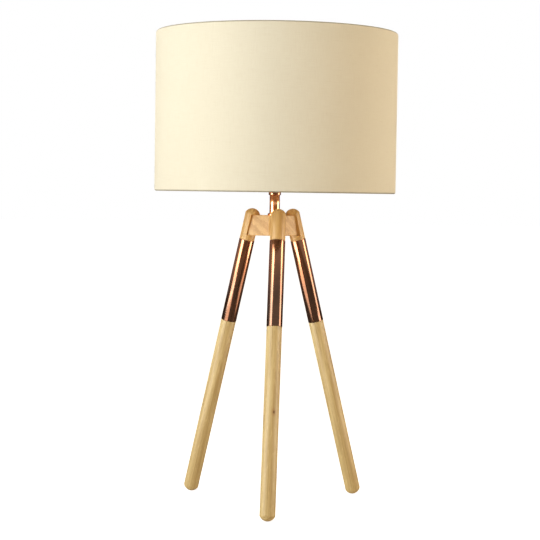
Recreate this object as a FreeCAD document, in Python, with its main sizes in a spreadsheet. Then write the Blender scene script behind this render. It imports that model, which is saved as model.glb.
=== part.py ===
import FreeCAD, Part
import math
import os
import Sketcher
from types import SimpleNamespace

# Tripod table lamp: three round wooden legs with copper sleeves, housed on a three-armed wooden
# hub, which carries a copper stem, a switched screw lampholder, a bulb and a fabric drum shade.
# Millimetres and degrees. +Z is up, the origin is on the table under the stem, and the front leg
# stands towards -Y. A leg piece has its own frame: Z runs up the leg, X points away from the hub,
# and its origin is where the leg's axis passes the middle height of the hub.

os.makedirs("parts", exist_ok=True)
doc = FreeCAD.newDocument("tripod_table_lamp")
sheet = doc.addObject("Spreadsheet::Sheet", "Sizes")

DRIVING_SIZES = {
    # stance of the tripod
    "joint_height": 405.0,  # middle of the hub above the table
    "leg_reach": 38.2,  # lamp axis to leg axis at the middle of the hub
    "arm_turn": 8.0,  # front arm turned from -Y towards +X
    "leg_splay": 14.3,  # lean of a leg outwards along its arm
    "leg_sweep": 3.26,  # lean of a leg sideways, round the lamp
    # legs
    "leg_diameter": 22.0,
    "leg_top_rise": 25.2,  # middle of the hub to the domed tip, along the leg
    "leg_top_drop": 21.5,  # middle of the hub to the sleeve's upper end, along the leg
    "dome_depth": 7.3,  # height of the domed tip and of the rounded foot
    "dome_rounding": 2.0,
    "sleeve_diameter": 22.6,
    "sleeve_wall": 1.0,
    "sleeve_length": 125.0,
    "sleeve_chamfer": 0.4,
    "spigot_length": 30.0,
    "spigot_chamfer": 1.0,
    "glue_gap": 0.08,  # radial room for glue round a spigot or a dowel
    # hub and its joints with the legs
    "hub_depth": 30.0,
    "arm_thickness": 15.0,
    "arm_rounding": 1.0,
    "web_fillet": 5.0,  # inner corners between two arms
    "shoulder_offset": 2.0,  # housing's shoulder to leg axis
    "dowel_diameter": 6.0,
    "dowel_in_arm": 12.0,
    "dowel_in_leg": 8.0,
    "dowel_end_room": 0.5,
    "hub_bore": 10.4,
    "nut_recess_diameter": 15.2,
    "nut_recess_depth": 8.0,
    # threaded tube and what it clamps
    "tube_diameter": 10.0,
    "tube_bore": 8.0,
    "tube_above_nut": 1.5,  # tube's end past the ring nut
    "tube_in_holder": 8.0,
    "nut_washer_diameter": 14.8,
    "nut_washer_thickness": 1.0,
    "ring_nut_diameter": 14.0,
    "ring_nut_height": 3.5,
    "ring_nut_chamfer": 0.5,
    "nut_slot_width": 2.5,
    "nut_slot_depth": 1.2,
    "thread_gap": 0.05,
    # cord bush in the lower end of the tube
    "cord_bore": 6.5,
    "bush_flange_diameter": 11.5,
    "bush_flange_height": 1.2,
    "bush_length": 9.0,
    "bush_fit": 0.05,
    # stem
    "stem_flange_diameter": 20.0,
    "stem_flange_height": 3.0,
    "stem_flange_chamfer": 0.8,
    "stem_diameter": 15.0,
    "stem_wall": 1.0,
    "stem_length": 26.3,
    "collar_diameter": 18.0,
    "collar_height": 6.0,
    "collar_chamfer": 0.7,
    # switched lampholder
    "neck_diameter": 18.0,
    "neck_height": 3.0,
    "cap_diameter": 38.0,
    "cap_height": 23.7,
    "cap_wall": 2.0,
    "cap_shoulder": 7.0,  # height of the cone between neck and barrel
    "switch_below_rim": 5.5,  # push bar's axis below the cap's rim
    "bar_diameter": 5.0,
    "bar_length": 56.0,
    "bar_travel": 6.0,
    "bar_slide_gap": 0.1,
    "bar_end_flat": 3.4,  # diameter left at each chamfered end
    "cam_diameter": 9.0,
    "cam_length": 7.0,
    "skirt_diameter": 39.5,
    "skirt_height": 32.0,
    "skirt_wall": 2.0,
    "seat_flange_diameter": 47.0,
    "seat_flange_height": 2.0,
    "insert_height": 6.0,
    "insert_gap": 0.1,
    "shell_bore": 26.8,
    "shell_wall": 0.5,
    "shell_height": 20.0,
    "shell_lip": 1.0,
    "contact_rise": 3.0,
    "contact_sheet": 0.5,
    "contact_width": 5.0,
    "terminal_spacing": 18.0,
    "terminal_length": 7.0,
    "terminal_width": 6.0,
    "terminal_depth": 8.0,
    "terminal_head_diameter": 4.6,
    "terminal_head_height": 1.6,
    "wire_hole": 2.6,
    # retaining ring
    "ring_flange_diameter": 52.0,
    "ring_flange_height": 2.0,
    "ring_sleeve_diameter": 44.6,
    "ring_height": 9.0,
    "ring_thread_gap": 0.1,
    "ring_rib_count": 12,
    "ring_rib_width": 2.4,
    "ring_rib_height": 1.0,
    "turn_gap": 0.3,  # room between faces that turn on each other
    # bulb
    "bulb_length": 106.0,
    "bulb_diameter": 60.0,
    "bulb_neck_diameter": 24.8,
    "bulb_flare": 35.0,  # hollow curve from the neck to the ball
    "glass_wall": 1.0,
    "glass_in_cap": 12.0,
    "bulb_cap_diameter": 26.2,
    "bulb_cap_top": 24.0,
    "bulb_cap_base": 4.6,
    "bulb_cap_wall": 0.6,
    "tip_diameter": 9.0,
    "tip_height": 1.2,
    "insulator_diameter": 22.6,
    # drum shade
    "shade_diameter": 350.0,
    "shade_height": 230.0,
    "fabric_thickness": 0.6,
    "liner_thickness": 0.4,
    "skin_gap": 0.05,
    "hem_return": 5.0,  # fabric turned up on the inside of each rim
    "ring_wire": 4.0,
    "wire_gap": 0.3,
    "fitter_recess": 28.0,  # shade's lower edge to the fitter
    "fitter_diameter": 56.0,
    "fitter_thickness": 1.6,
    "fitter_play": 0.3,
    "spoke_wire": 3.6,
    "spoke_turn": 30.0,
    "spoke_level_length": 20.0,
    "spoke_slope": 14.0,
    "spoke_bend": 12.0,
}

LEGS = 3
SPOKES = 3
FULL_TURN = 360.0


class Size:
    """A size with its value now and the sheet expression that keeps it so."""

    def __init__(self, value, text=None):
        self.value = float(value)
        self.text = text or repr(float(value))

    def __add__(self, other):
        other = as_size(other)
        return Size(self.value + other.value, f"({self.text} + {other.text})")

    def __sub__(self, other):
        other = as_size(other)
        return Size(self.value - other.value, f"({self.text} - {other.text})")

    def __mul__(self, other):
        other = as_size(other)
        return Size(self.value * other.value, f"({self.text} * {other.text})")

    def __truediv__(self, other):
        other = as_size(other)
        return Size(self.value / other.value, f"({self.text} / {other.text})")

    def __radd__(self, other):
        return as_size(other) + self

    def __rsub__(self, other):
        return as_size(other) - self

    def __rmul__(self, other):
        return as_size(other) * self

    def __neg__(self):
        return 0 - self


def as_size(thing):
    return thing if isinstance(thing, Size) else Size(thing)


def sine(angle):
    return Size(math.sin(math.radians(angle.value)), f"sin({angle.text})")


def cosine(angle):
    return Size(math.cos(math.radians(angle.value)), f"cos({angle.text})")


def tangent(angle):
    return Size(math.tan(math.radians(angle.value)), f"tan({angle.text})")


def root(amount):
    return Size(math.sqrt(amount.value), f"sqrt({amount.text})")


for row, (alias, amount) in enumerate(DRIVING_SIZES.items(), start=1):
    sheet.set(f"A{row}", alias)
    sheet.set(f"B{row}", str(amount))
    sheet.setAlias(f"B{row}", alias)
doc.recompute()

S = SimpleNamespace(**{alias: Size(getattr(sheet, alias), f"Sizes.{alias}") for alias in DRIVING_SIZES})


# ---------------------------------------------------------------- drawing and feature helpers


def bind(thing, name, amount):
    thing.setExpression(name, as_size(amount).text)


def place(thing, x=0, y=0, z=0, yaw=0, pitch=0, roll=0):
    """Turns a piece by roll about X, then pitch about Y, then yaw about Z, and moves it."""
    for name, amount in (("Base.x", x), ("Base.y", y), ("Base.z", z)):
        bind(thing, f"Placement.{name}", amount)
    for name, amount in (("Yaw", yaw), ("Pitch", pitch), ("Roll", roll)):
        bind(thing, f"Placement.Rotation.{name}", amount)


def new_body(name, **where):
    body = doc.addObject("PartDesign::Body", name)
    body.Label = name
    place(body, **where)
    return body


def origin_feature(body, role):
    return next(feature for feature in body.Origin.OriginFeatures if feature.Role == role)


def new_sketch(body, name, role, lift=0, tip=0):
    """A sketch on an origin plane of the body, lifted along its normal and tipped about its X."""
    sketch = body.newObject("Sketcher::SketchObject", name)
    sketch.AttachmentSupport = [(origin_feature(body, role), "")]
    sketch.MapMode = "FlatFace"
    sketch.AttachmentOffset = FreeCAD.Placement(
        FreeCAD.Vector(), FreeCAD.Rotation(FreeCAD.Vector(1, 0, 0), 1)
    )
    bind(sketch, ".AttachmentOffset.Base.z", lift)
    bind(sketch, ".AttachmentOffset.Rotation.Angle", tip)
    return sketch


def pin_point(sketch, geometry, end, x, y):
    """Dimensions one end of a line or arc from the sketch's origin."""
    for kind, axis, amount in (("DistanceX", -2, as_size(x)), ("DistanceY", -1, as_size(y))):
        if amount.text == repr(0.0):
            sketch.addConstraint(Sketcher.Constraint("PointOnObject", geometry, end, axis))
        else:
            rule = Sketcher.Constraint(kind, -1, 1, geometry, end, amount.value)
            bind(sketch, f"Constraints[{sketch.addConstraint(rule)}]", amount)


def arc_between(start, end, radius, side):
    """The short arc from start to end, its centre to the left or right of the way it runs."""
    chord = end - start
    reach = math.sqrt(max(radius**2 - (chord.Length / 2) ** 2, 0.0))
    across = FreeCAD.Vector(-chord.y, chord.x, 0).normalize()
    centre = (start + end) / 2 + across * (reach if side == "left" else -reach)
    first, last = (start, end) if side == "left" else (end, start)
    angles = [math.atan2(point.y - centre.y, point.x - centre.x) for point in (first, last)]
    return Part.ArcOfCircle(Part.Circle(centre, FreeCAD.Vector(0, 0, 1), radius), *angles)


def draw_path(sketch, corners, arcs=None, closed=True):
    """Draws lines between the corners, and arcs on the sides named in arcs, fully dimensioned."""
    arcs = arcs or {}
    points = [FreeCAD.Vector(as_size(x).value, as_size(y).value, 0) for x, y in corners]
    sides = len(points) if closed else len(points) - 1
    ends = []
    for side in range(sides):
        start, end = points[side], points[(side + 1) % len(points)]
        if side in arcs:
            radius, centre_side = arcs[side]
            geometry = sketch.addGeometry(arc_between(start, end, as_size(radius).value, centre_side))
            rule = Sketcher.Constraint("Radius", geometry, as_size(radius).value)
            bind(sketch, f"Constraints[{sketch.addConstraint(rule)}]", radius)
            ends.append((geometry, 1, 2) if centre_side == "left" else (geometry, 2, 1))
        else:
            ends.append((sketch.addGeometry(Part.LineSegment(start, end)), 1, 2))
    for side in range(sides if closed else sides - 1):
        here, after = ends[side], ends[(side + 1) % sides]
        sketch.addConstraint(Sketcher.Constraint("Coincident", here[0], here[2], after[0], after[1]))
    for side, (x, y) in enumerate(corners[:sides]):
        pin_point(sketch, ends[side][0], ends[side][1], x, y)
    if not closed:
        pin_point(sketch, ends[-1][0], ends[-1][2], *corners[-1])


def draw_circle(sketch, x, y, radius):
    circle = Part.Circle(
        FreeCAD.Vector(as_size(x).value, as_size(y).value, 0),
        FreeCAD.Vector(0, 0, 1),
        as_size(radius).value,
    )
    geometry = sketch.addGeometry(circle)
    rule = Sketcher.Constraint("Radius", geometry, as_size(radius).value)
    bind(sketch, f"Constraints[{sketch.addConstraint(rule)}]", radius)
    pin_point(sketch, geometry, 3, x, y)


def revolve(body, sketch, axis="V_Axis"):
    feature = body.newObject("PartDesign::Revolution", sketch.Name + "_turned")
    feature.Profile = (sketch, [""])
    feature.ReferenceAxis = (sketch, [axis])
    feature.Angle = FULL_TURN
    return feature


def turned(name, corners, arcs=None, **where):
    """A piece turned about its own Z from a half outline of (radius, height) corners."""
    body = new_body(name, **where)
    sketch = new_sketch(body, name + "_outline", "XZ_Plane")
    draw_path(sketch, corners, arcs)
    revolve(body, sketch)
    return body


def pad(body, sketch, length, symmetric=False):
    feature = body.newObject("PartDesign::Pad", sketch.Name + "_pad")
    feature.Profile = (sketch, [""])
    feature.SideType = "Symmetric" if symmetric else "One side"
    bind(feature, "Length", length)
    return feature


def pocket(body, sketch, length=None, symmetric=False, backwards=False):
    """Cuts a sketch into the body, right through where no length is given."""
    doc.recompute()
    before = body.Shape.Volume
    feature = body.newObject("PartDesign::Pocket", sketch.Name + "_cut")
    feature.Profile = (sketch, [""])
    feature.SideType = "Symmetric" if symmetric else "One side"
    feature.Reversed = backwards
    if length is None:
        feature.Type = "ThroughAll"
    else:
        bind(feature, "Length", length)
    doc.recompute()
    if body.Shape.Volume >= before:
        raise ValueError(f"{feature.Label} removes nothing")
    return feature


def round_pattern(body, features, count):
    pattern = body.newObject("PartDesign::PolarPattern", features[-1].Name + "_ring")
    pattern.Originals = features
    pattern.Axis = (origin_feature(body, "Z_Axis"), [""])
    pattern.Angle = FULL_TURN
    pattern.Occurrences = count
    body.Tip = pattern
    return pattern


def round_edges(body, radius, chosen):
    """Fillets the edges of the body so far that the test picks."""
    doc.recompute()
    base = body.Tip
    names = [f"Edge{i}" for i, edge in enumerate(base.Shape.Edges, start=1) if chosen(edge)]
    feature = body.newObject("PartDesign::Fillet", body.Name + "_rounding")
    feature.Base = (base, names)
    bind(feature, "Radius", radius)
    return feature


def group(name, members):
    compound = doc.addObject("Part::Compound", name)
    compound.Label = name
    compound.Links = members
    return compound


# ---------------------------------------------------------------- levels that pieces share

HUB_TOP = S.joint_height + S.hub_depth / 2
HUB_BOTTOM = S.joint_height - S.hub_depth / 2
STEM_FOOT = HUB_TOP + S.stem_flange_height
COLLAR_FOOT = STEM_FOOT + S.stem_length
HOLDER_FOOT = COLLAR_FOOT + S.collar_height
CAP_RIM = HOLDER_FOOT + S.cap_height
SWITCH_LEVEL = CAP_RIM - S.switch_below_rim
SHADE_SEAT = CAP_RIM + S.seat_flange_height
FITTER_FOOT = SHADE_SEAT + S.turn_gap
SHADE_FOOT = FITTER_FOOT - S.fitter_recess
INSERT_TOP = CAP_RIM + S.insert_height
BULB_FOOT = INSERT_TOP + S.contact_rise + S.turn_gap
TUBE_FOOT = HUB_BOTTOM + S.nut_recess_depth - S.nut_washer_thickness - S.ring_nut_height - S.tube_above_nut
LEG_RADIUS = S.leg_diameter / 2
DOME_RADIUS = (LEG_RADIUS * LEG_RADIUS + S.dome_depth * S.dome_depth) / (S.dome_depth * 2)
WIRE_INSET = S.fabric_thickness + S.wire_gap + S.ring_wire / 2
SPIGOT_RADIUS = S.sleeve_diameter / 2 - S.sleeve_wall - S.glue_gap


def arm_yaw(number):
    """Direction of an arm, counted round from the front one, as an angle from +X."""
    return S.arm_turn - FULL_TURN / 4 + number * FULL_TURN / LEGS


def leg_place(number):
    yaw = arm_yaw(number)
    return dict(
        x=S.leg_reach * cosine(yaw),
        y=S.leg_reach * sine(yaw),
        z=S.joint_height,
        yaw=yaw,
        pitch=-S.leg_splay,
        roll=-S.leg_sweep,
    )


# ---------------------------------------------------------------- legs


def leg_top(number):
    """Upper wood of a leg: domed tip, housing for the hub's arm, dowel hole and spigot."""
    name = f"leg_top_{number + 1}"
    end = -S.leg_top_drop
    tip = end - S.spigot_length
    body = turned(
        name,
        [
            (0, S.leg_top_rise),
            (LEG_RADIUS, S.leg_top_rise - S.dome_depth),
            (LEG_RADIUS, end),
            (SPIGOT_RADIUS, end),
            (SPIGOT_RADIUS, tip + S.spigot_chamfer),
            (SPIGOT_RADIUS - S.spigot_chamfer, tip),
            (0, tip),
        ],
        {0: (DOME_RADIUS, "right")},
        **leg_place(number),
    )
    # The arm's level top and bottom cross the leaning leg, and its end meets the shoulder.
    housing = new_sketch(body, name + "_housing", "XZ_Plane", tip=S.leg_sweep)
    slope = tangent(S.leg_splay)
    half = S.hub_depth / 2 / cosine(S.leg_splay)
    mouth = S.leg_diameter
    draw_path(
        housing,
        [
            (-S.shoulder_offset, S.shoulder_offset * slope - half),
            (-S.shoulder_offset, S.shoulder_offset * slope + half),
            (-mouth, mouth * slope + half),
            (-mouth, mouth * slope - half),
        ],
    )
    pocket(body, housing, symmetric=True)
    hole_end = S.dowel_in_leg + S.dowel_end_room
    hole = new_sketch(body, name + "_dowel_hole", "YZ_Plane", lift=hole_end)
    draw_circle(hole, 0, 0, S.dowel_diameter / 2 + S.glue_gap)
    pocket(body, hole, length=hole_end + S.shoulder_offset * 2)
    return body


def leg_sleeve(number):
    """Copper tube over the spigots of both wooden pieces."""
    top = -S.leg_top_drop
    foot = top - S.sleeve_length
    outer = S.sleeve_diameter / 2
    inner = outer - S.sleeve_wall
    return turned(
        f"leg_sleeve_{number + 1}",
        [
            (inner, foot),
            (outer - S.sleeve_chamfer, foot),
            (outer, foot + S.sleeve_chamfer),
            (outer, top - S.sleeve_chamfer),
            (outer - S.sleeve_chamfer, top),
            (inner, top),
        ],
        **leg_place(number),
    )


def leg_lower(number):
    """Lower wood of a leg: spigot, long round shank and rounded foot that touches the table."""
    end = -S.leg_top_drop - S.sleeve_length
    tip = end + S.spigot_length
    lean = cosine(S.leg_splay) * cosine(S.leg_sweep)
    foot = -((S.joint_height - DOME_RADIUS) / lean + DOME_RADIUS)
    body = turned(
        f"leg_lower_{number + 1}",
        [
            (0, tip),
            (SPIGOT_RADIUS - S.spigot_chamfer, tip),
            (SPIGOT_RADIUS, tip - S.spigot_chamfer),
            (SPIGOT_RADIUS, end),
            (LEG_RADIUS, end),
            (LEG_RADIUS, foot + S.dome_depth),
            (0, foot),
        ],
        {5: (DOME_RADIUS, "right")},
        **leg_place(number),
    )
    shoulder_level = (foot + S.dome_depth).value
    round_edges(
        body,
        S.dome_rounding,
        lambda edge: all(abs(vertex.Z - shoulder_level) < 0.01 for vertex in edge.Vertexes),
    )
    return body


# ---------------------------------------------------------------- hub


def hub():
    """Three-armed wooden hub: each arm's end is cut to the lean of its leg."""
    body = new_body("hub", z=S.joint_height, yaw=arm_yaw(0))
    half = S.hub_depth / 2
    mid_end = S.leg_reach - S.shoulder_offset / cosine(S.leg_splay)
    slope = tangent(S.leg_splay)
    arm = new_sketch(body, "arm_outline", "XZ_Plane")
    draw_path(arm, [(0, -half), (mid_end + half * slope, -half), (mid_end - half * slope, half), (0, half)])
    arms = round_pattern(body, [pad(body, arm, S.arm_thickness, symmetric=True)], LEGS)
    doc.recompute()
    inner = S.arm_thickness.value
    round_edges(
        body,
        S.web_fillet,
        lambda edge: is_upright(edge) and math.hypot(edge.Vertexes[0].X, edge.Vertexes[0].Y) < inner,
    )
    round_edges(body, S.arm_rounding, lambda edge: is_level(edge, half.value) and not is_arm_end(edge))
    bore = new_sketch(body, "hub_bore_centre", "XY_Plane", lift=-half)
    draw_circle(bore, 0, 0, S.hub_bore / 2)
    doc.recompute()
    hole = body.newObject("PartDesign::Hole", "stepped_bore")
    hole.Profile = (bore, [""])
    hole.DepthType = "ThroughAll"
    hole.Reversed = True
    bind(hole, "Diameter", S.hub_bore)
    hole.HoleCutType = "Counterbore"
    hole.HoleCutCustomValues = True
    bind(hole, "HoleCutDiameter", S.nut_recess_diameter)
    bind(hole, "HoleCutDepth", S.nut_recess_depth)
    doc.recompute()
    dowel = new_sketch(body, "arm_dowel_hole", "YZ_Plane", lift=S.leg_reach, tip=-S.leg_splay)
    draw_circle(dowel, 0, 0, S.dowel_diameter / 2 + S.glue_gap)
    depth = S.shoulder_offset + S.dowel_in_arm + S.dowel_end_room
    round_pattern(body, [pocket(body, dowel, length=depth)], LEGS)
    return body


def is_upright(edge):
    first, last = edge.Vertexes[0], edge.Vertexes[-1]
    return math.hypot(first.X - last.X, first.Y - last.Y) < 0.01 and abs(first.Z - last.Z) > 1


def is_level(edge, half):
    return all(abs(abs(vertex.Z) - half) < 0.01 for vertex in edge.Vertexes)


def is_arm_end(edge):
    """An arm's end edge: both ends equally far from the lamp axis, and out past the web."""
    reaches = [math.hypot(vertex.X, vertex.Y) for vertex in edge.Vertexes]
    return max(reaches) - min(reaches) < 0.01 and min(reaches) > S.leg_reach.value / 2


def hub_dowels():
    """Hidden wooden dowels, one through each joint of arm and leg."""
    pins = []
    for number in range(LEGS):
        yaw = arm_yaw(number)
        pin = doc.addObject("Part::Cylinder", f"dowel_{number + 1}")
        bind(pin, "Radius", S.dowel_diameter / 2)
        bind(pin, "Height", S.dowel_in_arm + S.shoulder_offset + S.dowel_in_leg)
        start = S.shoulder_offset + S.dowel_in_arm
        inward = S.leg_reach - start * cosine(S.leg_splay)
        place(
            pin,
            x=inward * cosine(yaw),
            y=inward * sine(yaw),
            z=S.joint_height - start * sine(S.leg_splay),
            yaw=yaw,
            pitch=FULL_TURN / 4 - S.leg_splay,
        )
        pins.append(pin)
    return group("hub_dowels", pins)


# ---------------------------------------------------------------- threaded tube, nut, bush


def tube_and_fixings():
    """The hollow threaded tube clamps holder, stem and hub between the lampholder and a ring nut."""
    bore = S.tube_diameter / 2 + S.thread_gap
    nut_top = HUB_BOTTOM + S.nut_recess_depth - S.nut_washer_thickness
    length = HOLDER_FOOT + S.tube_in_holder - TUBE_FOOT
    inner = S.tube_bore / 2
    outer = S.tube_diameter / 2
    tube = turned(
        "threaded_tube",
        [(inner, 0), (outer, 0), (outer, length), (inner, length)],
        z=TUBE_FOOT,
    )
    rim = S.nut_washer_diameter / 2
    thick = S.nut_washer_thickness
    washer = turned("nut_washer", [(bore, 0), (rim, 0), (rim, thick), (bore, thick)], z=nut_top)
    rim = S.ring_nut_diameter / 2
    high = S.ring_nut_height
    soft = S.ring_nut_chamfer
    nut = turned(
        "ring_nut",
        [(bore, 0), (rim - soft, 0), (rim, soft), (rim, high), (bore, high)],
        z=nut_top - high,
    )
    slot = new_sketch(nut, "spanner_slot", "XY_Plane")
    across = S.nut_slot_width / 2
    reach = S.ring_nut_diameter
    draw_path(slot, [(-reach, -across), (reach, -across), (reach, across), (-reach, across)])
    pocket(nut, slot, length=S.nut_slot_depth, backwards=True)
    return [tube, washer, nut]


def cord_bush():
    """Plastic bush that lines the lower mouth of the tube, where a cord would enter."""
    inner = S.cord_bore / 2
    outer = S.tube_bore / 2 - S.bush_fit
    rim = S.bush_flange_diameter / 2
    return turned(
        "cord_bush",
        [
            (inner, -S.bush_flange_height),
            (rim, -S.bush_flange_height),
            (rim, 0),
            (outer, 0),
            (outer, S.bush_length - S.bush_flange_height),
            (inner, S.bush_length - S.bush_flange_height),
        ],
        z=TUBE_FOOT,
    )


# ---------------------------------------------------------------- stem


def stem():
    """Copper stem: flanged foot on the hub, short tube and the collar under the lampholder."""
    bore = S.tube_diameter / 2 + S.thread_gap
    rim = S.stem_flange_diameter / 2
    high = S.stem_flange_height
    soft = S.stem_flange_chamfer
    flange = turned(
        "stem_flange",
        [(bore, 0), (rim, 0), (rim, high - soft), (rim - soft, high), (bore, high)],
        z=HUB_TOP,
    )
    outer = S.stem_diameter / 2
    inner = outer - S.stem_wall
    tube = turned(
        "stem_tube",
        [(inner, 0), (outer, 0), (outer, S.stem_length), (inner, S.stem_length)],
        z=STEM_FOOT,
    )
    rim = S.collar_diameter / 2
    high = S.collar_height
    soft = S.collar_chamfer
    collar = turned(
        "stem_collar",
        [
            (bore, 0),
            (rim - soft, 0),
            (rim, soft),
            (rim, high - soft),
            (rim - soft, high),
            (bore, high),
        ],
        z=COLLAR_FOOT,
    )
    return [flange, tube, collar]


# ---------------------------------------------------------------- lampholder


def holder_cap():
    """Lower housing of the lampholder: threaded neck, conical shoulder and push bar holes."""
    bore = S.tube_diameter / 2 + S.thread_gap
    neck = S.neck_diameter / 2
    rim = S.cap_diameter / 2
    shoulder = S.neck_height + S.cap_shoulder
    body = turned(
        "holder_cap",
        [
            (bore, 0),
            (neck, 0),
            (neck, S.neck_height),
            (rim, shoulder),
            (rim, S.cap_height),
            (rim - S.cap_wall, S.cap_height),
            (rim - S.cap_wall, shoulder),
            (neck, S.neck_height + S.cap_wall),
            (bore, S.neck_height + S.cap_wall),
        ],
        z=HOLDER_FOOT,
    )
    hole = new_sketch(body, "bar_hole", "YZ_Plane")
    draw_circle(hole, 0, S.cap_height - S.switch_below_rim, S.bar_diameter / 2 + S.bar_slide_gap)
    pocket(body, hole, symmetric=True)
    return body


def push_bar():
    """Sliding bar of the switch, with the cam that throws the contacts, pushed fully to -X."""
    body = new_body("push_bar", x=-S.bar_travel / 2, z=SWITCH_LEVEL)
    outline = new_sketch(body, "bar_outline", "XZ_Plane")
    half = S.bar_length / 2
    thick = S.bar_diameter / 2
    cam = S.cam_length / 2
    flat = S.bar_end_flat / 2
    soft = thick - flat
    draw_path(
        outline,
        [
            (-half, 0),
            (-half, flat),
            (-half + soft, thick),
            (-cam, thick),
            (-cam, S.cam_diameter / 2),
            (cam, S.cam_diameter / 2),
            (cam, thick),
            (half - soft, thick),
            (half, flat),
            (half, 0),
        ],
    )
    revolve(body, outline, axis="H_Axis")
    return body


def holder_skirt():
    """Upper shell of the lampholder, with the flange that the shade's fitter sits on."""
    rim = S.seat_flange_diameter / 2
    outer = S.skirt_diameter / 2
    inner = outer - S.skirt_wall
    high = S.seat_flange_height
    return turned(
        "holder_skirt",
        [
            (inner, 0),
            (rim, 0),
            (rim, high),
            (outer, high),
            (outer, S.skirt_height),
            (inner, S.skirt_height),
        ],
        z=CAP_RIM,
    )


def holder_insert():
    """Ceramic insert that stands on the cap's rim and carries the contacts."""
    outer = S.skirt_diameter / 2 - S.skirt_wall - S.insert_gap
    body = new_body("holder_insert", z=CAP_RIM)
    disc = new_sketch(body, "insert_disc", "XY_Plane")
    draw_circle(disc, 0, 0, outer)
    pad(body, disc, S.insert_height)
    return body


def screw_shell():
    """Metal screw shell that the bulb's cap turns into."""
    inner = S.shell_bore / 2
    outer = inner + S.shell_wall
    lip = outer + S.shell_lip
    top = S.shell_height
    return turned(
        "screw_shell",
        [
            (inner, 0),
            (lip, 0),
            (lip, S.shell_wall),
            (outer, S.shell_wall),
            (outer, top),
            (inner, top),
        ],
        z=INSERT_TOP,
    )


def centre_contact():
    """Bent spring strip under the bulb's tip."""
    body = new_body("centre_contact", z=INSERT_TOP)
    strip = new_sketch(body, "strip_outline", "XZ_Plane")
    sheet_thickness = S.contact_sheet
    foot = S.contact_width * 2
    knee = S.contact_width
    top = S.contact_rise
    half = S.contact_width / 2
    draw_path(
        strip,
        [
            (-foot, 0),
            (-knee, 0),
            (-half, top - sheet_thickness),
            (half, top - sheet_thickness),
            (half, top),
            (-half - sheet_thickness / 2, top),
            (-knee - sheet_thickness / 2, sheet_thickness),
            (-foot, sheet_thickness),
        ],
    )
    pad(body, strip, S.contact_width, symmetric=True)
    return body


def terminals():
    """Two brass terminal blocks under the insert, each with a wire hole and a clamp screw."""
    blocks = []
    screws = []
    for label, side in (("left", -1), ("right", 1)):
        middle = S.terminal_spacing / 2 * side
        block = doc.addObject("Part::Box", f"terminal_block_{label}")
        bind(block, "Length", S.terminal_length)
        bind(block, "Width", S.terminal_width)
        bind(block, "Height", S.terminal_depth)
        place(
            block,
            x=-S.terminal_length / 2,
            y=middle - S.terminal_width / 2,
            z=CAP_RIM - S.terminal_depth,
        )
        wire = doc.addObject("Part::Cylinder", f"wire_hole_{label}")
        bind(wire, "Radius", S.wire_hole / 2)
        bind(wire, "Height", S.terminal_depth / 2)
        place(wire, y=middle, z=CAP_RIM - S.terminal_depth)
        drilled = doc.addObject("Part::Cut", f"terminal_{label}")
        drilled.Base = block
        drilled.Tool = wire
        blocks.append(drilled)
        head = doc.addObject("Part::Cylinder", f"screw_head_{label}")
        bind(head, "Radius", S.terminal_head_diameter / 2)
        bind(head, "Height", S.terminal_head_height)
        place(
            head,
            y=middle + S.terminal_width / 2 * side,
            z=CAP_RIM - S.terminal_depth / 2,
            roll=-FULL_TURN / 4 * side,
        )
        screws.append(head)
    return [group("terminals", blocks), group("terminal_screws", screws)]


def retaining_ring():
    """Screwed ring, ribbed for the fingers, that clamps the shade's fitter on its flange."""
    bore = S.skirt_diameter / 2 + S.ring_thread_gap
    rim = S.ring_flange_diameter / 2
    sleeve = S.ring_sleeve_diameter / 2
    body = turned(
        "retaining_ring",
        [
            (bore, 0),
            (rim, 0),
            (rim, S.ring_flange_height),
            (sleeve, S.ring_flange_height),
            (sleeve, S.ring_height),
            (bore, S.ring_height),
        ],
        z=FITTER_FOOT + S.fitter_thickness + S.turn_gap,
    )
    rib = new_sketch(body, "finger_rib", "XY_Plane", lift=S.ring_flange_height)
    half = S.ring_rib_width / 2
    root_radius = (bore + sleeve) / 2
    tip = sleeve + S.ring_rib_height
    draw_path(rib, [(root_radius, -half), (tip, -half), (tip, half), (root_radius, half)])
    ribs = pad(body, rib, S.ring_height - S.ring_flange_height)
    pattern = round_pattern(body, [ribs], int(S.ring_rib_count.value))
    bind(pattern, "Occurrences", S.ring_rib_count)
    return body


# ---------------------------------------------------------------- bulb


def bulb_outline(inset):
    """Half outline of the glass from its open foot to its crown, drawn in by the inset."""
    ball = S.bulb_diameter / 2
    neck = S.bulb_neck_diameter / 2
    flare = S.bulb_flare
    middle = S.bulb_length - ball
    across = neck + flare
    up = root((ball + flare) * (ball + flare) - across * across)
    share = (ball - inset) / (ball + flare)
    corners = [
        (neck - inset, S.glass_in_cap),
        (neck - inset, middle - up),
        (across * share, middle - up * share),
        (0, middle + ball - inset),
    ]
    return corners, flare + inset, ball - inset


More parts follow.
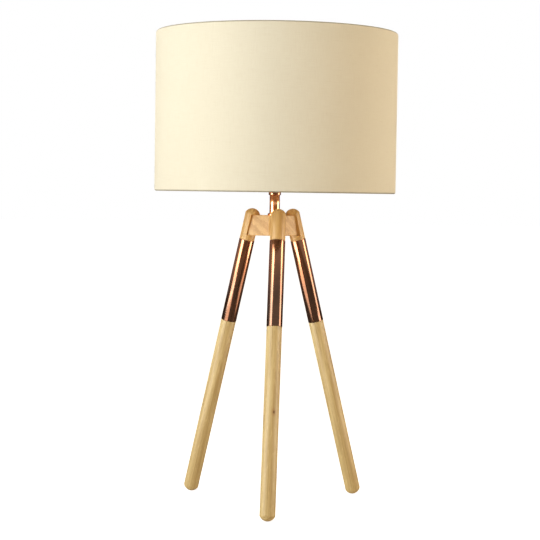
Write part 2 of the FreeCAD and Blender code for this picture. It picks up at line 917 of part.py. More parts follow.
def bulb():
    """Screw-cap bulb: glass envelope, cap, insulator and tip."""
    outside, flare_out, ball_out = bulb_outline(0)
    inside, flare_in, ball_in = bulb_outline(S.glass_wall)
    glass = turned(
        "bulb_glass",
        outside + inside[::-1],
        {
            1: (flare_out, "right"),
            2: (ball_out, "left"),
            4: (ball_in, "right"),
            5: (flare_in, "left"),
        },
        z=BULB_FOOT,
    )
    rim = S.bulb_cap_diameter / 2
    wall = S.bulb_cap_wall
    base = S.bulb_cap_base
    slope = rim - S.insulator_diameter / 2
    cap = turned(
        "bulb_cap",
        [
            (0, base),
            (rim - slope, base),
            (rim, base + slope),
            (rim, S.bulb_cap_top),
            (rim - wall, S.bulb_cap_top),
            (rim - wall, base + slope + wall),
            (rim - slope - wall, base + wall),
            (0, base + wall),
        ],
        z=BULB_FOOT,
    )
    tip = S.tip_diameter / 2
    insulator = turned(
        "bulb_insulator",
        [(0, S.tip_height), (tip, S.tip_height), (S.insulator_diameter / 2, base), (0, base)],
        z=BULB_FOOT,
    )
    contact = turned(
        "bulb_tip",
        [(0, 0), (tip - S.tip_height / 2, 0), (tip, S.tip_height / 2), (tip, S.tip_height), (0, S.tip_height)],
        z=BULB_FOOT,
    )
    return [glass, cap, insulator, contact]


# ---------------------------------------------------------------- shade


def half_octagon(radius, level, way, reach):
    """Four corners round half a rolled rim, from its outside over the end to its inside."""
    flat = reach * tangent(Size(FULL_TURN / 16))
    return [
        (radius + reach, level + flat * way),
        (radius + flat, level + reach * way),
        (radius - flat, level + reach * way),
        (radius - reach, level + flat * way),
    ]


def shade_fabric():
    """Fabric skin of the drum, rolled round the wire at each rim, turned back inside, and slit
    where the spokes pass through the lower roll."""
    middle = S.shade_diameter / 2 - WIRE_INSET
    thick = S.fabric_thickness
    hollow = WIRE_INSET - thick
    low = WIRE_INSET
    high = S.shade_height - WIRE_INSET
    corners = half_octagon(middle, high, 1, WIRE_INSET)
    corners += [(middle - WIRE_INSET, high - S.hem_return), (middle - hollow, high - S.hem_return)]
    corners += half_octagon(middle, high, 1, hollow)[::-1]
    corners += half_octagon(middle, low, -1, hollow)
    corners += [(middle - hollow, low + S.hem_return), (middle - WIRE_INSET, low + S.hem_return)]
    corners += half_octagon(middle, low, -1, WIRE_INSET)[::-1]
    body = turned("shade_fabric", corners, z=SHADE_FOOT, yaw=S.spoke_turn)
    slit = new_sketch(body, "spoke_slit", "YZ_Plane", lift=middle)
    draw_circle(slit, 0, low, S.spoke_wire / 2 + S.wire_gap)
    round_pattern(body, [pocket(body, slit, length=WIRE_INSET * 2)], SPOKES)
    return body


def shade_liner():
    """Stiff translucent liner that backs the fabric between the two rim wires."""
    outer = S.shade_diameter / 2 - S.fabric_thickness - S.skin_gap
    inner = outer - S.liner_thickness
    foot = WIRE_INSET * 2
    top = S.shade_height - WIRE_INSET * 2
    return turned(
        "shade_liner",
        [(inner, foot), (outer, foot), (outer, top), (inner, top)],
        z=SHADE_FOOT,
    )


def rim_wire(name, level):
    """Wire ring inside a rolled rim, its section drawn as eight flats."""
    middle = S.shade_diameter / 2 - WIRE_INSET
    upper = half_octagon(middle, 0, 1, S.ring_wire / 2)
    lower = half_octagon(middle, 0, -1, S.ring_wire / 2)
    return turned(name, upper + lower[::-1], z=level)


def shade_frame():
    """Rim wires, flat fitter ring and the three bent spokes between fitter and lower wire."""
    lower = rim_wire("lower_rim_wire", SHADE_FOOT + WIRE_INSET)
    upper = rim_wire("upper_rim_wire", SHADE_FOOT + S.shade_height - WIRE_INSET)
    bore = S.skirt_diameter / 2 + S.fitter_play
    rim = S.fitter_diameter / 2
    thick = S.fitter_thickness
    fitter = turned(
        "shade_fitter",
        [(bore, 0), (rim, 0), (rim, thick), (bore, thick)],
        z=FITTER_FOOT,
    )
    return [lower, upper, fitter, shade_spokes()]


def shade_spokes():
    """Wire spokes: level at the fitter, sloping down, and level again at the lower rim wire."""
    body = new_body("shade_spokes", z=SHADE_FOOT + WIRE_INSET, yaw=S.spoke_turn)
    start = S.fitter_diameter / 2
    drop = S.fitter_recess + S.fitter_thickness / 2 - WIRE_INSET
    bend_in = start + S.spoke_level_length
    bend_out = bend_in + drop / tangent(S.spoke_slope)
    end = S.shade_diameter / 2 - WIRE_INSET - S.ring_wire / 2
    length = S.spoke_bend * tangent(S.spoke_slope / 2)
    along = length * cosine(S.spoke_slope)
    down = length * sine(S.spoke_slope)
    route = new_sketch(body, "spoke_route", "XZ_Plane")
    draw_path(
        route,
        [
            (start, drop),
            (bend_in - length, drop),
            (bend_in + along, drop - down),
            (bend_out - along, down),
            (bend_out + length, 0),
            (end, 0),
        ],
        {1: (S.spoke_bend, "right"), 3: (S.spoke_bend, "left")},
        closed=False,
    )
    section = new_sketch(body, "spoke_section", "YZ_Plane", lift=start)
    draw_circle(section, 0, drop, S.spoke_wire / 2)
    doc.recompute()
    pipe = body.newObject("PartDesign::AdditivePipe", "spoke_pipe")
    pipe.Profile = (section, [""])
    pipe.Spine = (route, [])
    round_pattern(body, [pipe], SPOKES)
    return body


# ---------------------------------------------------------------- assembly


def build_all():
    pieces = []
    for number in range(LEGS):
        pieces += [leg_top(number), leg_sleeve(number), leg_lower(number)]
    pieces += [hub(), hub_dowels()]
    pieces += tube_and_fixings()
    pieces += [cord_bush()]
    pieces += stem()
    pieces += [holder_cap(), push_bar(), holder_skirt(), holder_insert(), screw_shell(), centre_contact()]
    pieces += terminals()
    pieces += [retaining_ring()]
    pieces += bulb()
    pieces += [shade_fabric(), shade_liner()]
    pieces += shade_frame()
    return pieces


def check_all(pieces):
    """Stops before anything is written where a feature failed or a piece is not a sound solid."""
    for thing in doc.Objects:
        if {"Invalid", "Error"} & set(thing.State):
            raise ValueError(f"{thing.Label} failed: {thing.State}")
    for piece in pieces:
        if piece.Shape.isNull() or not piece.Shape.isValid() or not piece.Shape.Solids:
            raise ValueError(f"{piece.Label} is not a sound solid")


made = build_all()
doc.recompute()
check_all(made)
for piece in made:
    piece.Shape.exportStep(f"parts/{piece.Label}.step")
print(len(made), "pieces written")
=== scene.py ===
import bpy
import math
from mathutils import Euler, Matrix, Vector


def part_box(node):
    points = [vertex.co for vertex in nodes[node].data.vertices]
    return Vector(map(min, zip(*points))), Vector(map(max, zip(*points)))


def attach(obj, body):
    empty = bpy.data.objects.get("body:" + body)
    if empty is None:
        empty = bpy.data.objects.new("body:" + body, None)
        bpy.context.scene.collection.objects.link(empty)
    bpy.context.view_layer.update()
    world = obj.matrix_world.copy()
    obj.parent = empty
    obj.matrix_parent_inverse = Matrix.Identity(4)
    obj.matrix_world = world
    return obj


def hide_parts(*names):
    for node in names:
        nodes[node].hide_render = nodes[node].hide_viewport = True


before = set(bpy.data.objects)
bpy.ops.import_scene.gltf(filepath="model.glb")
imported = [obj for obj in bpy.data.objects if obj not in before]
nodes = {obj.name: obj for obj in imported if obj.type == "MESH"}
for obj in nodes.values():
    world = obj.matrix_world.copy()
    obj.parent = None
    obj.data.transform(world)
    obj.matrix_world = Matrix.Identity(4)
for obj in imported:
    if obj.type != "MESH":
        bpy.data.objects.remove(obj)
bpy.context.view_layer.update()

# ------------------------------------------------------------------ lower legs
# Three round wooden legs, turned from pale straight-grained hardwood and lacquered satin, with
# rounded feet. Each is glued on a spigot into the lower end of its copper sleeve.


class Socket:
    """An output socket of a material, on which arithmetic adds Math nodes."""

    def __init__(self, tree, output):
        self.tree = tree
        self.output = output

    def node(self, kind, settings=None, inputs=None, out=0):
        """Adds a node of any type: settings first, then the values or links of its sockets."""
        made = self.tree.nodes.new(kind)
        for name, value in (settings or {}).items():
            setattr(made, name, value)
        for name, value in (inputs or {}).items():
            if isinstance(value, Socket):
                self.tree.links.new(value.output, made.inputs[name])
            else:
                made.inputs[name].default_value = value
        return Socket(self.tree, None if out is None else made.outputs[out])

    def maths(self, operation, *values):
        """A Math node over these values or sockets."""
        return self.node("ShaderNodeMath", {"operation": operation}, dict(enumerate(values)))

    def __add__(self, other):
        return self.maths("ADD", self, other)

    def __radd__(self, other):
        return self.maths("ADD", other, self)

    def __sub__(self, other):
        return self.maths("SUBTRACT", self, other)

    def __rsub__(self, other):
        return self.maths("SUBTRACT", other, self)

    def __mul__(self, other):
        return self.maths("MULTIPLY", self, other)

    def __rmul__(self, other):
        return self.maths("MULTIPLY", other, self)

    def between(self, low, high):
        """0 where the value is under low, 1 over high, with a soft step."""
        settings = {"interpolation_type": "SMOOTHSTEP"}
        return self.node("ShaderNodeMapRange", settings, {0: self, 1: low, 2: high})

    def blended(self, first, second):
        """Colour that goes from first to second as this value goes from 0 to 1."""
        settings = {"data_type": "RGBA"}
        return self.node("ShaderNodeMix", settings, {0: self, 6: first, 7: second}, out=2)

    def noise(self, scale, detail=3.0, roughness=0.5):
        """Noise at this vector, stretched by a scale along each axis."""
        stretched = self.node(
            "ShaderNodeVectorMath", {"operation": "MULTIPLY"}, {0: self, 1: scale}
        )
        inputs = {"Vector": stretched, "Scale": 1.0, "Detail": detail, "Roughness": roughness}
        return self.node("ShaderNodeTexNoise", {}, inputs)

    def parts(self):
        """The three numbers of this vector."""
        split = self.node("ShaderNodeSeparateXYZ", {}, {0: self}).output.node
        return [Socket(self.tree, output) for output in split.outputs]


def new_material(name):
    """An empty material and its Object coordinates, as a socket to start from."""
    material = bpy.data.materials.new(name)
    material.use_nodes = True
    material.node_tree.nodes.clear()
    start = material.node_tree.nodes.new("ShaderNodeTexCoord")
    return material, Socket(material.node_tree, start.outputs["Object"])


def coat_surface(place, settings):
    """Principled surface of a material; a height, where given, becomes its bump."""
    settings = dict(settings)
    height = settings.pop("height", None)
    if height is not None:
        depth = settings.pop("depth")
        bump = {"Height": height, "Strength": 1.0, "Distance": depth}
        settings["Normal"] = place.node("ShaderNodeBump", {}, bump)
    surface = place.node("ShaderNodeBsdfPrincipled", {}, settings)
    place.node("ShaderNodeOutputMaterial", {}, {"Surface": surface}, out=None)


UPRIGHT = Vector((0, 0, 1))


def along_axis(place, centre, axis):
    """Coordinates turned so that Z runs along a leaning piece through its centre."""
    moved = place.node("ShaderNodeVectorMath", {"operation": "SUBTRACT"}, {0: place, 1: centre})
    turn = axis.rotation_difference(UPRIGHT).to_euler()
    settings = {"vector_type": "POINT"}
    return moved.node("ShaderNodeMapping", settings, {"Vector": moved, "Rotation": turn})


RING_PITCH = (420.0, 260.0)  # growth lines, in radians to the metre across and through
RING_DRIFT = 34.0  # how far slow and quick wander bend them
RING_WANDER = 3.0
LEG_STREAK = 0.34
PORE_COLOUR = (0.36, 0.19, 0.070)
PORE_SHARE = 0.40
KNOT_CORE = (0.0010, 0.0022)  # radii in metres over which heart and halo fade
KNOT_HALO = (0.0018, 0.0050)
KNOT_HEART_COLOUR = (0.15, 0.062, 0.022)
KNOT_HALO_COLOUR = (0.40, 0.20, 0.070)
WOOD_RELIEF = 0.00006


def hardwood(name, centre, axis, light, deep, knot=None, streak=LEG_STREAK):
    """Pale lacquered hardwood, grain along the axis, with a small knot where one is given."""
    material, place = new_material(name)
    local = along_axis(place, centre, axis)
    drift = local.noise((9.0, 9.0, 1.6), detail=2.0)
    wander = local.noise((60.0, 60.0, 5.0), detail=2.0)
    across, through = local.parts()[:2]
    rings = across * RING_PITCH[0] + through * RING_PITCH[1]
    rings = rings + drift * RING_DRIFT + wander * RING_WANDER
    growth = (rings.maths("SINE", rings) * 0.5 + 0.5).between(0.15, 1.0)
    fibre = local.noise((950.0, 950.0, 22.0), detail=4.0, roughness=0.7)
    band = local.noise((240.0, 240.0, 7.0), detail=3.0, roughness=0.6)
    fleck = local.noise((420.0, 420.0, 95.0), detail=2.0).between(0.54, 0.70)
    pores = local.noise((1500.0, 1500.0, 60.0), detail=2.0).between(0.62, 0.74)
    shade = growth * streak + fibre.between(0.3, 0.72) * 0.30 + drift.between(0.35, 0.7) * 0.18
    shade = shade + band.between(0.38, 0.66) * 0.40 - fleck * 0.22
    colour = shade.blended((*light, 1.0), (*deep, 1.0))
    colour = (pores * PORE_SHARE).blended(colour, (*PORE_COLOUR, 1.0))
    height = fibre * 0.6 - pores * 0.8
    if knot is not None:
        offset = local.node("ShaderNodeVectorMath", {"operation": "SUBTRACT"}, {0: local, 1: knot})
        taller = {0: offset, 1: (1.0, 1.0, 0.6)}
        oval = offset.node("ShaderNodeVectorMath", {"operation": "MULTIPLY"}, taller)
        reach = oval.node("ShaderNodeVectorMath", {"operation": "LENGTH"}, {0: oval}, out=1)
        core = 1.0 - reach.between(*KNOT_CORE)
        halo = 1.0 - reach.between(*KNOT_HALO)
        colour = (halo * 0.45).blended(colour, (*KNOT_HALO_COLOUR, 1.0))
        colour = (core * 0.85).blended(colour, (*KNOT_HEART_COLOUR, 1.0))
    coat_surface(
        place,
        {
            "Base Color": colour,
            "Roughness": fibre * 0.12 + 0.40,
            "Specular IOR Level": 0.18,
            "Coat Weight": 0.05,
            "Coat Roughness": 0.28,
            "height": height,
            "depth": WOOD_RELIEF,
        },
    )
    return material


MERGE_DISTANCE = 0.000002
FLAT_ANGLE = math.radians(0.2)
ARRIS_ANGLE = math.radians(40)
SMOOTH_ANGLE = math.radians(35)


def finished(node, name, body, finish, ease):
    """Shows a solid as its finished piece: one joined skin, arrises eased and smooth-shaded."""
    piece = bpy.data.objects.new(name, nodes[node].data.copy())
    bpy.context.scene.collection.objects.link(piece)
    bpy.ops.object.select_all(action="DESELECT")
    piece.select_set(True)
    bpy.context.view_layer.objects.active = piece
    bpy.ops.object.mode_set(mode="EDIT")
    bpy.ops.mesh.select_all(action="SELECT")
    bpy.ops.mesh.remove_doubles(threshold=MERGE_DISTANCE)
    bpy.ops.mesh.dissolve_limited(angle_limit=FLAT_ANGLE)
    bpy.ops.object.mode_set(mode="OBJECT")
    bevel = piece.modifiers.new("eased", "BEVEL")
    bevel.width = ease
    bevel.segments = 2
    bevel.limit_method = "ANGLE"
    bevel.angle_limit = ARRIS_ANGLE
    bevel.use_clamp_overlap = True
    bpy.ops.object.modifier_apply(modifier=bevel.name)
    bpy.ops.object.shade_smooth_by_angle(angle=SMOOTH_ANGLE)
    piece.data.materials.clear()
    piece.data.materials.append(finish)
    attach(piece, body)
    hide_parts(node)
    return piece


def middle_of(node):
    """Middle of a node's box."""
    low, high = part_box(node)
    return (low + high) / 2


def leg_axis(number):
    """Direction of a leg from its foot to the hub, from the middles of sleeve and lower wood."""
    return (middle_of(f"leg_sleeve_{number}") - middle_of(f"leg_lower_{number}")).normalized()


LEG_NUMBERS = (1, 2, 3)
LEG_EASE = 0.0004
LOWER_LIGHT = (0.80, 0.625, 0.300)
LOWER_DEEP = (0.50, 0.335, 0.125)
KNOT_LEVEL = 0.1457  # height of the front leg's knot above the table
KNOT_ACROSS = 0.0037  # to the right of the leg's axis
KNOT_FRONT = 0.0100  # in front of it

for number in LEG_NUMBERS:
    node = f"leg_lower_{number}"
    axis = leg_axis(number)
    centre = middle_of(node)
    knot = None
    if number == 1:
        to_front = axis.rotation_difference(UPRIGHT) @ Vector((0, -KNOT_FRONT, 0))
        knot = (KNOT_ACROSS, to_front.y, (KNOT_LEVEL - centre.z) / axis.z)
    wood_name = f"lower_leg_wood_{number}"
    finish = hardwood(wood_name, centre, axis, LOWER_LIGHT, LOWER_DEEP, knot)
    finished(node, f"lower_leg_{number}", "stand", finish, LEG_EASE)

# ------------------------------------------------------------------ copper sleeves
# Drawn copper tubes, darkened to an antique brown and polished under clear lacquer, so that a
# window or lamp shows in them as long upright streaks. They join both woods of each leg.


COPPER_RELIEF = 0.000006
COPPER_EDGE_TINT = (0.30, 0.17, 0.11)


def copper(name, centre, axis, bright, dark, roughness, reach=0.0):
    """Lacquered copper with fine lines round the axis; on a long piece, a painted reflection
    lightens the top and painted shade darkens the lower end.
    """
    material, place = new_material(name)
    local = along_axis(place, centre, axis)
    lines = local.noise((60.0, 60.0, 2600.0), detail=2.0)
    patina = local.noise((38.0, 38.0, 14.0), detail=3.0, roughness=0.5)
    specks = local.noise((1400.0, 1400.0, 1400.0), detail=1.0).between(0.66, 0.74)
    shade = patina.between(0.30, 0.72) * 0.45 + lines.between(0.3, 0.7) * 0.20
    # painted reflection of the hub lightens the upper end, and painted shade darkens the lower end
    if reach > 0:
        shade = shade + 0.60 - local.parts()[2].between(-reach, reach) * 0.85
    colour = shade.blended((*bright, 1.0), (*dark, 1.0))
    speck_colour = [part * 0.5 for part in dark]
    colour = (specks * 0.25).blended(colour, (*speck_colour, 1.0))
    coat_surface(
        place,
        {
            "Base Color": colour,
            "Metallic": 1.0,
            "Roughness": patina * 0.06 + roughness,
            "Specular Tint": (*COPPER_EDGE_TINT, 1.0),
            "Coat Weight": 0.30,
            "Coat Roughness": 0.12,
            "height": lines,
            "depth": COPPER_RELIEF,
        },
    )
    return material


SLEEVE_BRIGHT = (0.200, 0.080, 0.036)
SLEEVE_DARK = (0.050, 0.025, 0.014)
SLEEVE_PAINTED_REFLECTION_REACH = 0.055  # half the length over which painted reflection at the top gives way to painted shade at the bottom
SLEEVE_ROUGHNESS = 0.12
SLEEVE_EASE = 0.0002

for number in LEG_NUMBERS:
    node = f"leg_sleeve_{number}"
    finish = copper(
        f"sleeve_copper_{number}",
        middle_of(node),
        leg_axis(number),
        SLEEVE_BRIGHT,
        SLEEVE_DARK,
        SLEEVE_ROUGHNESS,
        SLEEVE_PAINTED_REFLECTION_REACH,
    )
    finished(node, f"sleeve_{number}", "stand", finish, SLEEVE_EASE)

# ------------------------------------------------------------------ upper legs
# The short domed tops of the legs, of the same wood. Each is housed on its inner side for an arm
# of the hub, doweled and glued to it, and spigoted into the upper end of its sleeve.

UPPER_LIGHT = (0.94, 0.61, 0.235)
UPPER_DEEP = (0.68, 0.375, 0.110)
UPPER_EASE = 0.0006

for number in LEG_NUMBERS:
    node = f"leg_top_{number}"
    wood_name = f"upper_leg_wood_{number}"
    finish = hardwood(wood_name, middle_of(node), leg_axis(number), UPPER_LIGHT, UPPER_DEEP)
    finished(node, f"upper_leg_{number}", "stand", finish, UPPER_EASE)

# ------------------------------------------------------------------ hub
# Three-armed block of the same wood with eased arrises, its grain on the slant, with hidden
# dowels into the legs and a bore for the threaded tube.

HUB_EASE = 0.0009
HUB_GRAIN = Vector((0.74, 0.24, -0.63)).normalized()
HUB_STREAK = 0.55

hub_middle = middle_of("hub")
hub_wood = hardwood("hub_wood", hub_middle, HUB_GRAIN, UPPER_LIGHT, UPPER_DEEP, streak=HUB_STREAK)
finished("hub", "hub_block", "stand", hub_wood, HUB_EASE)
dowel_axis = Vector((1, 0, 0))
dowel_wood = hardwood(
    "dowel_wood", middle_of("hub_dowels"), dowel_axis, LOWER_LIGHT, LOWER_DEEP
)
nodes["hub_dowels"].data.materials.clear()
nodes["hub_dowels"].data.materials.append(dowel_wood)

# ------------------------------------------------------------------ stem
# Flange, short tube and collar of brighter polished copper, clamped between hub and lampholder
# by the threaded tube inside them.

STEM_BRIGHT = (0.72, 0.300, 0.125)
STEM_DARK = (0.60, 0.235, 0.090)
COLLAR_BRIGHT = (0.40, 0.165, 0.080)
COLLAR_DARK = (0.20, 0.070, 0.030)
STEM_ROUGHNESS = 0.10
STEM_EASE = 0.0002

for node, piece_name, bright, dark in (
    ("stem_flange", "stem_foot", STEM_BRIGHT, STEM_DARK),
    ("stem_tube", "stem_pipe", STEM_BRIGHT, STEM_DARK),
    ("stem_collar", "stem_ring", COLLAR_BRIGHT, COLLAR_DARK),
):
    copper_name = f"{piece_name}_copper"
    finish = copper(copper_name, middle_of(node), UPRIGHT, bright, dark, STEM_ROUGHNESS)
    finished(node, piece_name, "stand", finish, STEM_EASE)

# ------------------------------------------------------------------ threaded tube and nut
# Hollow brass tube with its washer and slotted ring nut in the hub's recess, and the screws,
# shell and contact inside the lampholder, all turned or pressed from brass.


def worked(name, light, deep, scale, roughness, metallic=0.0, relief=0.00002, coat=0.0):
    """Finish with a soft mottle and fine grain at the scale given, in cycles to the metre."""
    material, place = new_material(name)
    mottle = place.noise((scale, scale, scale), detail=4.0, roughness=0.6)
    grain = place.noise((scale * 9.0, scale * 9.0, scale * 9.0), detail=2.0)
    shade = mottle.between(0.32, 0.70) * 0.7 + grain.between(0.3, 0.7) * 0.3
    coat_surface(
        place,
        {
            "Base Color": shade.blended((*light, 1.0), (*deep, 1.0)),
            "Metallic": metallic,
            "Roughness": mottle * 0.14 + roughness,
            "Coat Weight": coat,
            "height": grain,
            "depth": relief,
        },
    )
    return material


def give(finish, *names):
    """Paints solids that are shown as they are."""
    for name in names:
        nodes[name].data.materials.clear()
        nodes[name].data.materials.append(finish)


BRASS_LIGHT = (0.76, 0.55, 0.25)
BRASS_DEEP = (0.58, 0.39, 0.15)
BRASS = worked(
    "turned_brass", BRASS_LIGHT, BRASS_DEEP, 160.0, 0.22, metallic=1.0, relief=0.000006
)
give(BRASS, "threaded_tube", "nut_washer", "ring_nut")
give(BRASS, "screw_shell", "centre_contact", "terminals", "terminal_screws")

# ------------------------------------------------------------------ cord bush and lampholder
# Moulded pale plastic: the bush in the tube's mouth, the cap and skirt of the lampholder with
# their push bar, and the ribbed ring that clamps the shade. The insert inside is ceramic.

PLASTIC_LIGHT = (0.80, 0.775, 0.72)
PLASTIC_DEEP = (0.72, 0.69, 0.63)
PLASTIC = worked("moulded_plastic", PLASTIC_LIGHT, PLASTIC_DEEP, 220.0, 0.36, relief=0.00001)
give(PLASTIC, "cord_bush", "push_bar")
HOLDER_EASE = 0.0003
for node, piece_name, body in (
    ("holder_cap", "lampholder_cap", "stand"),
    ("holder_skirt", "lampholder_skirt", "stand"),
    ("retaining_ring", "shade_ring", "ring"),
):
    finished(node, piece_name, body, PLASTIC, HOLDER_EASE)
CERAMIC_LIGHT = (0.84, 0.82, 0.77)
CERAMIC_DEEP = (0.74, 0.71, 0.65)
CERAMIC = worked("fired_ceramic", CERAMIC_LIGHT, CERAMIC_DEEP, 300.0, 0.52)
give(CERAMIC, "holder_insert", "bulb_insulator")

# ------------------------------------------------------------------ bulb
# Screw-cap bulb: blown glass, opal inside, cemented into a thin aluminium cap with a soldered
# tip below a ceramic insulator.

GLASS_LIGHT = (0.90, 0.885, 0.84)
GLASS_DEEP = (0.86, 0.84, 0.79)
GLASS_EASE = 0.0002
GLASS = worked("opal_glass", GLASS_LIGHT, GLASS_DEEP, 90.0, 0.20, relief=0.000004, coat=0.3)
METAL_LIGHT = (0.80, 0.80, 0.81)
METAL_DEEP = (0.64, 0.64, 0.65)
ALUMINIUM = worked(
    "thin_aluminium", METAL_LIGHT, METAL_DEEP, 260.0, 0.28, metallic=1.0, relief=0.00001
)
finished("bulb_glass", "bulb_globe", "bulb", GLASS, GLASS_EASE)
give(ALUMINIUM, "bulb_cap", "bulb_tip")

# ------------------------------------------------------------------ shade frame
# White-coated steel: a flat fitter ring, three bent wire spokes and the two rim wires, with a
# stiff translucent liner that the cloth is laminated on.

COATING_LIGHT = (0.82, 0.81, 0.77)
COATING_DEEP = (0.74, 0.73, 0.68)
COATING = worked(
    "white_coating", COATING_LIGHT, COATING_DEEP, 260.0, 0.34, relief=0.00001, coat=0.2
)
WIRE_EASE = 0.0002
for node, piece_name in (("shade_fitter", "fitter_ring"), ("shade_spokes", "wire_spokes")):
    finished(node, piece_name, "shade", COATING, WIRE_EASE)
give(COATING, "lower_rim_wire", "upper_rim_wire")
LINER_LIGHT = (0.86, 0.835, 0.76)
LINER_DEEP = (0.81, 0.78, 0.70)
LINER = worked("liner_sheet", LINER_LIGHT, LINER_DEEP, 45.0, 0.58, relief=0.00002)
give(LINER, "shade_liner")

# ------------------------------------------------------------------ shade cloth
# Fine plain-woven cream cotton, laminated round the drum with an upright lap at the back, and
# rolled over the wire at each rim and turned back inside.


COTTON_LIGHT = (0.935, 0.885, 0.715)
COTTON_DEEP = (0.835, 0.765, 0.590)
LAP_SHADOW = (0.52, 0.41, 0.26)
RIM_SHADE_COLOUR = (0.33, 0.29, 0.19)
THREAD_PITCH = 0.00056
LAP_HALF = 0.0088  # half the width of the lap at the back
LAP_STEP = 0.0006
RIM_SHADE_REACH = (0.0024, 0.0008)  # from a rim's end, where painted shade darkens the rolled edge
HEM_REACH = (0.0062, 0.0056)  # from a rim's end, where the hem inside shows as a ridge
CLOTH_RELIEF = 0.00016


def woven_cloth(name, radius, low, high):
    """Plain weave with uneven threads, laid round the drum, and a lap seam at the back, with a
    painted shadow beside the lap and painted shade along the rolled rims.
    """
    material, place = new_material(name)
    x, y, z = place.parts()
    around = x.maths("ARCTAN2", x, y) * radius
    flat = around.node("ShaderNodeCombineXYZ", {}, {0: around, 1: z, 2: 0.0})
    warp = flat.noise((1500.0, 55.0, 1.0), detail=3.0, roughness=0.6)
    weft = flat.noise((55.0, 1500.0, 1.0), detail=3.0, roughness=0.6)
    slub = flat.noise((14.0, 420.0, 1.0), detail=2.0).between(0.56, 0.78)
    up_slub = flat.noise((420.0, 14.0, 1.0), detail=2.0).between(0.58, 0.80)
    threads = math.tau / THREAD_PITCH
    warp_wave = around.maths("SINE", around * threads)
    weft_wave = z.maths("SINE", z * threads)
    over = warp_wave * weft_wave
    cloud = flat.noise((7.0, 7.0, 1.0), detail=3.0)
    from_seam = around.maths("ABSOLUTE", around)
    seam = 1.0 - from_seam.between(LAP_HALF, LAP_HALF + LAP_STEP)
    edge = from_seam.between(LAP_HALF - 0.0005, LAP_HALF) * seam
    half = (high - low) / 2
    level = z - (high + low) / 2
    rim = level.maths("ABSOLUTE", level)
    painted_rim_shade = rim.between(half - RIM_SHADE_REACH[0], half - RIM_SHADE_REACH[1])
    hem = rim.between(half - HEM_REACH[0], half - HEM_REACH[1])
    shade = warp * 0.46 + weft * 0.42 + slub * 0.06 + up_slub * 0.07
    shade = shade + cloud * 0.12 - over * 0.03
    colour = shade.between(0.36, 0.92).blended((*COTTON_LIGHT, 1.0), (*COTTON_DEEP, 1.0))
    colour = (edge * 0.5).blended(colour, (*LAP_SHADOW, 1.0))
    # painted shade along the rolled edge at each rim
    colour = (painted_rim_shade * 0.85).blended(colour, (*RIM_SHADE_COLOUR, 1.0))
    relief = warp * 0.5 + weft * 0.5 + over * 0.35 + slub * 0.3 + seam * 0.8 + hem * 0.5
    coat_surface(
        place,
        {
            "Base Color": colour,
            "Roughness": 0.92,
            "Specular IOR Level": 0.05,
            "Sheen Weight": 0.12,
            "Sheen Roughness": 0.5,
            "height": relief,
            "depth": CLOTH_RELIEF,
        },
    )
    return material


cloth_low, cloth_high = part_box("shade_fabric")
CLOTH_RADIUS = (cloth_high.x - cloth_low.x) / 2
CLOTH_THICKNESS = 0.0006
ROLL_RADIUS = 0.0029
HEM_RETURN = 0.005
CLOTH_SMOOTH = math.radians(50)
ROLL_STEPS = 10
ROUND_STEPS = 192
ON_RIM = 0.00001  # how near a vertex lies to the rim that it belongs to


def grow_rim(piece, level, outward, radius, height):
    """Extrudes the open rim at this level to a ring of another radius and height."""
    bpy.ops.object.mode_set(mode="EDIT")
    bpy.ops.mesh.select_mode(type="VERT")
    bpy.ops.mesh.select_all(action="DESELECT")
    bpy.ops.object.mode_set(mode="OBJECT")
    for vertex in piece.data.vertices:
        off_level = abs(vertex.co.z - level)
        off_round = abs(math.hypot(vertex.co.x, vertex.co.y) - outward)
        vertex.select = off_level < ON_RIM and off_round < ON_RIM
    bpy.ops.object.mode_set(mode="EDIT")
    rise = (0.0, 0.0, height - level)
    bpy.ops.mesh.extrude_region_move(TRANSFORM_OT_translate={"value": rise})
    share = radius / outward
    bpy.ops.transform.resize(value=(share, share, 1.0), center_override=(0.0, 0.0, height))
    bpy.ops.object.mode_set(mode="OBJECT")


bpy.ops.object.select_all(action="DESELECT")
bpy.ops.mesh.primitive_cylinder_add(
    vertices=ROUND_STEPS,
    radius=CLOTH_RADIUS,
    depth=cloth_high.z - cloth_low.z - 2 * ROLL_RADIUS,
    end_fill_type="NOTHING",
    location=(0.0, 0.0, (cloth_low.z + cloth_high.z) / 2),
)
cloth = bpy.context.object
cloth.name = "shade_cloth"
bpy.ops.object.transform_apply(location=True, rotation=True, scale=True)
for way, end in ((1, cloth_high.z), (-1, cloth_low.z)):
    middle = end - way * ROLL_RADIUS
    level, reach = middle, CLOTH_RADIUS
    for step in range(1, ROLL_STEPS + 1):
        angle = math.pi * step / ROLL_STEPS
        radius = CLOTH_RADIUS - ROLL_RADIUS + ROLL_RADIUS * math.cos(angle)
        height = middle + way * ROLL_RADIUS * math.sin(angle)
        grow_rim(cloth, level, reach, radius, height)
        level, reach = height, radius
    grow_rim(cloth, level, reach, reach, middle - way * HEM_RETURN)
cloth_shell = cloth.modifiers.new("thickness", "SOLIDIFY")
cloth_shell.thickness = CLOTH_THICKNESS
cloth_shell.offset = -1.0
bpy.context.view_layer.objects.active = cloth
bpy.ops.object.modifier_apply(modifier=cloth_shell.name)
bpy.ops.object.shade_smooth_by_angle(angle=CLOTH_SMOOTH)
cloth.data.name = "shade_cloth"
cloth.data.materials.clear()
cotton = woven_cloth("cream_cotton", CLOTH_RADIUS, cloth_low.z, cloth_high.z)
cloth.data.materials.append(cotton)
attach(cloth, "shade")
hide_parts("shade_fabric")

# ------------------------------------------------------------------ floor and light
# A plain white table top and background, a large soft window at the left, a smaller warm one at
# the right, and panels at both sides, tall and lying, that show only as streaks in the copper.

FLOOR_SIZE = 40.0
FLOOR_COLOUR = (0.84, 0.84, 0.84)
GLOW_COLOUR = (0.96, 0.98, 1.0)
GLOW_LEVEL = 0.82


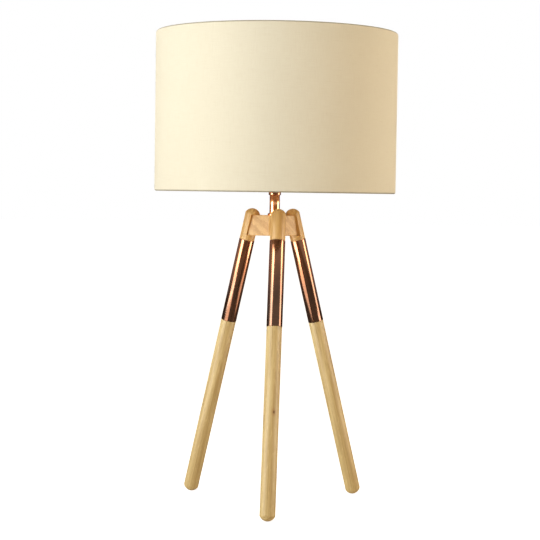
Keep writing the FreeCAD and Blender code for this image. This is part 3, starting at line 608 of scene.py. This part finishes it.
def white_ground():
    """White matt floor that takes shadows and looks white to the camera."""
    material, place = new_material("white_ground")
    camera = place.node("ShaderNodeLightPath", {}, {}, out="Is Camera Ray")
    lit = place.node("ShaderNodeBsdfDiffuse", {}, {"Color": (*FLOOR_COLOUR, 1.0)})
    shine = {"Color": (*GLOW_COLOUR, 1.0), "Strength": camera * GLOW_LEVEL}
    glow = place.node("ShaderNodeEmission", {}, shine)
    both = place.node("ShaderNodeAddShader", {}, {0: lit, 1: glow})
    place.node("ShaderNodeOutputMaterial", {}, {"Surface": both}, out=None)
    return material


bpy.ops.object.select_all(action="DESELECT")
bpy.ops.mesh.primitive_plane_add(size=FLOOR_SIZE, location=(0.0, 0.0, 0.0))
ground = bpy.context.object
ground.name = "ground"
ground.data.materials.append(white_ground())

ROOM_LIGHT = (0.42, 0.335, 0.242)
ROOM_WHITE = (1.0, 1.0, 1.0)
world = bpy.data.worlds.new("room")
bpy.context.scene.world = world
world.use_nodes = True
world.node_tree.nodes.clear()
room = Socket(world.node_tree, None)
by_camera, by_gloss, through_glass = [
    room.node("ShaderNodeLightPath", {}, {}, out=f"Is {ray} Ray")
    for ray in ("Camera", "Glossy", "Transmission")
]
reflected = by_gloss.maths("MAXIMUM", by_gloss, through_glass)
seen = by_camera.maths("MAXIMUM", by_camera, reflected)
backdrop = seen.blended((*ROOM_LIGHT, 1.0), (*ROOM_WHITE, 1.0))
sky = room.node("ShaderNodeBackground", {}, {"Color": backdrop, "Strength": 1.0})
room.node("ShaderNodeOutputWorld", {}, {"Surface": sky}, out=None)

LAMP_LEVEL = 1.31
LOW_LEVEL = 0.004
LAMPS = (
    # name, direction round the lamp, distance, width, height, power, tint, lights matt surfaces.
    # A low one lies on the table, and its height is then its length away from the lamp.
    ("left_window", -52.0, 2.35, 0.90, 2.40, 47.0, (0.92, 0.975, 1.0), True),
    ("right_window", 84.0, 2.20, 0.50, 2.40, 22.0, (1.0, 0.85, 0.66), True),
    ("left_streak", -60.0, 2.30, 1.45, 2.60, 132.0, (1.0, 0.98, 0.93), False),
    ("right_streak", 82.0, 2.30, 0.95, 2.60, 88.0, (1.0, 0.97, 0.90), False),
    ("left_low", -60.0, 1.65, 0.95, 1.30, 78.0, (1.0, 0.98, 0.93), False),
    ("right_low", 82.0, 1.65, 0.60, 1.30, 40.0, (1.0, 0.97, 0.90), False),
    ("left_near_low", -60.0, 0.70, 0.60, 0.64, 10.5, (1.0, 0.86, 0.74), False),
    ("right_near_low", 82.0, 0.70, 0.36, 0.64, 4.4, (1.0, 0.78, 0.62), False),
)
for name, direction, distance, width, tall, power, tint, matt in LAMPS:
    light = bpy.data.lights.new(name, "AREA")
    light.shape = "RECTANGLE"
    light.size, light.size_y = width, tall
    light.energy = power
    light.color = tint
    lamp = bpy.data.objects.new(name, light)
    round_lamp = math.radians(direction)
    lying = name.endswith("low")
    level = LOW_LEVEL if lying else LAMP_LEVEL
    lamp.location = (distance * math.sin(round_lamp), -distance * math.cos(round_lamp), level)
    inward = Vector((-lamp.location.x, -lamp.location.y, 0.0))
    if lying:
        lamp.rotation_euler = (math.pi, 0.0, -round_lamp)
    else:
        lamp.rotation_euler = inward.to_track_quat("-Z", "Y").to_euler()
    lamp.visible_diffuse = matt
    lamp.visible_camera = matt
    bpy.context.scene.collection.objects.link(lamp)

# ------------------------------------------------------------------ camera
# A long lens a little above the middle of the lamp, tipped slightly down and rolled by under a
# degree, as the shade and the legs lean in the picture.

CAMERA_DISTANCE = 2.245
CAMERA_HEIGHT = 0.4538
CAMERA_PITCH = 2.9
CAMERA_YAW = 0.138
CAMERA_ROLL = 0.84
CAMERA_LENS = 102.7
CAMERA_SENSOR = 36.0
camera = bpy.data.cameras.new("camera")
camera.lens = CAMERA_LENS
camera.sensor_width = CAMERA_SENSOR
viewer = bpy.data.objects.new("camera", camera)
viewer.location = (0.0, -CAMERA_DISTANCE, CAMERA_HEIGHT)
turn = Euler((math.radians(90.0 - CAMERA_PITCH), 0.0, math.radians(CAMERA_YAW))).to_matrix()
viewer.rotation_euler = (turn @ Matrix.Rotation(math.radians(CAMERA_ROLL), 3, "Z")).to_euler()
bpy.context.scene.collection.objects.link(viewer)
bpy.context.scene.camera = viewer
bpy.context.scene.view_settings.view_transform = "Standard"
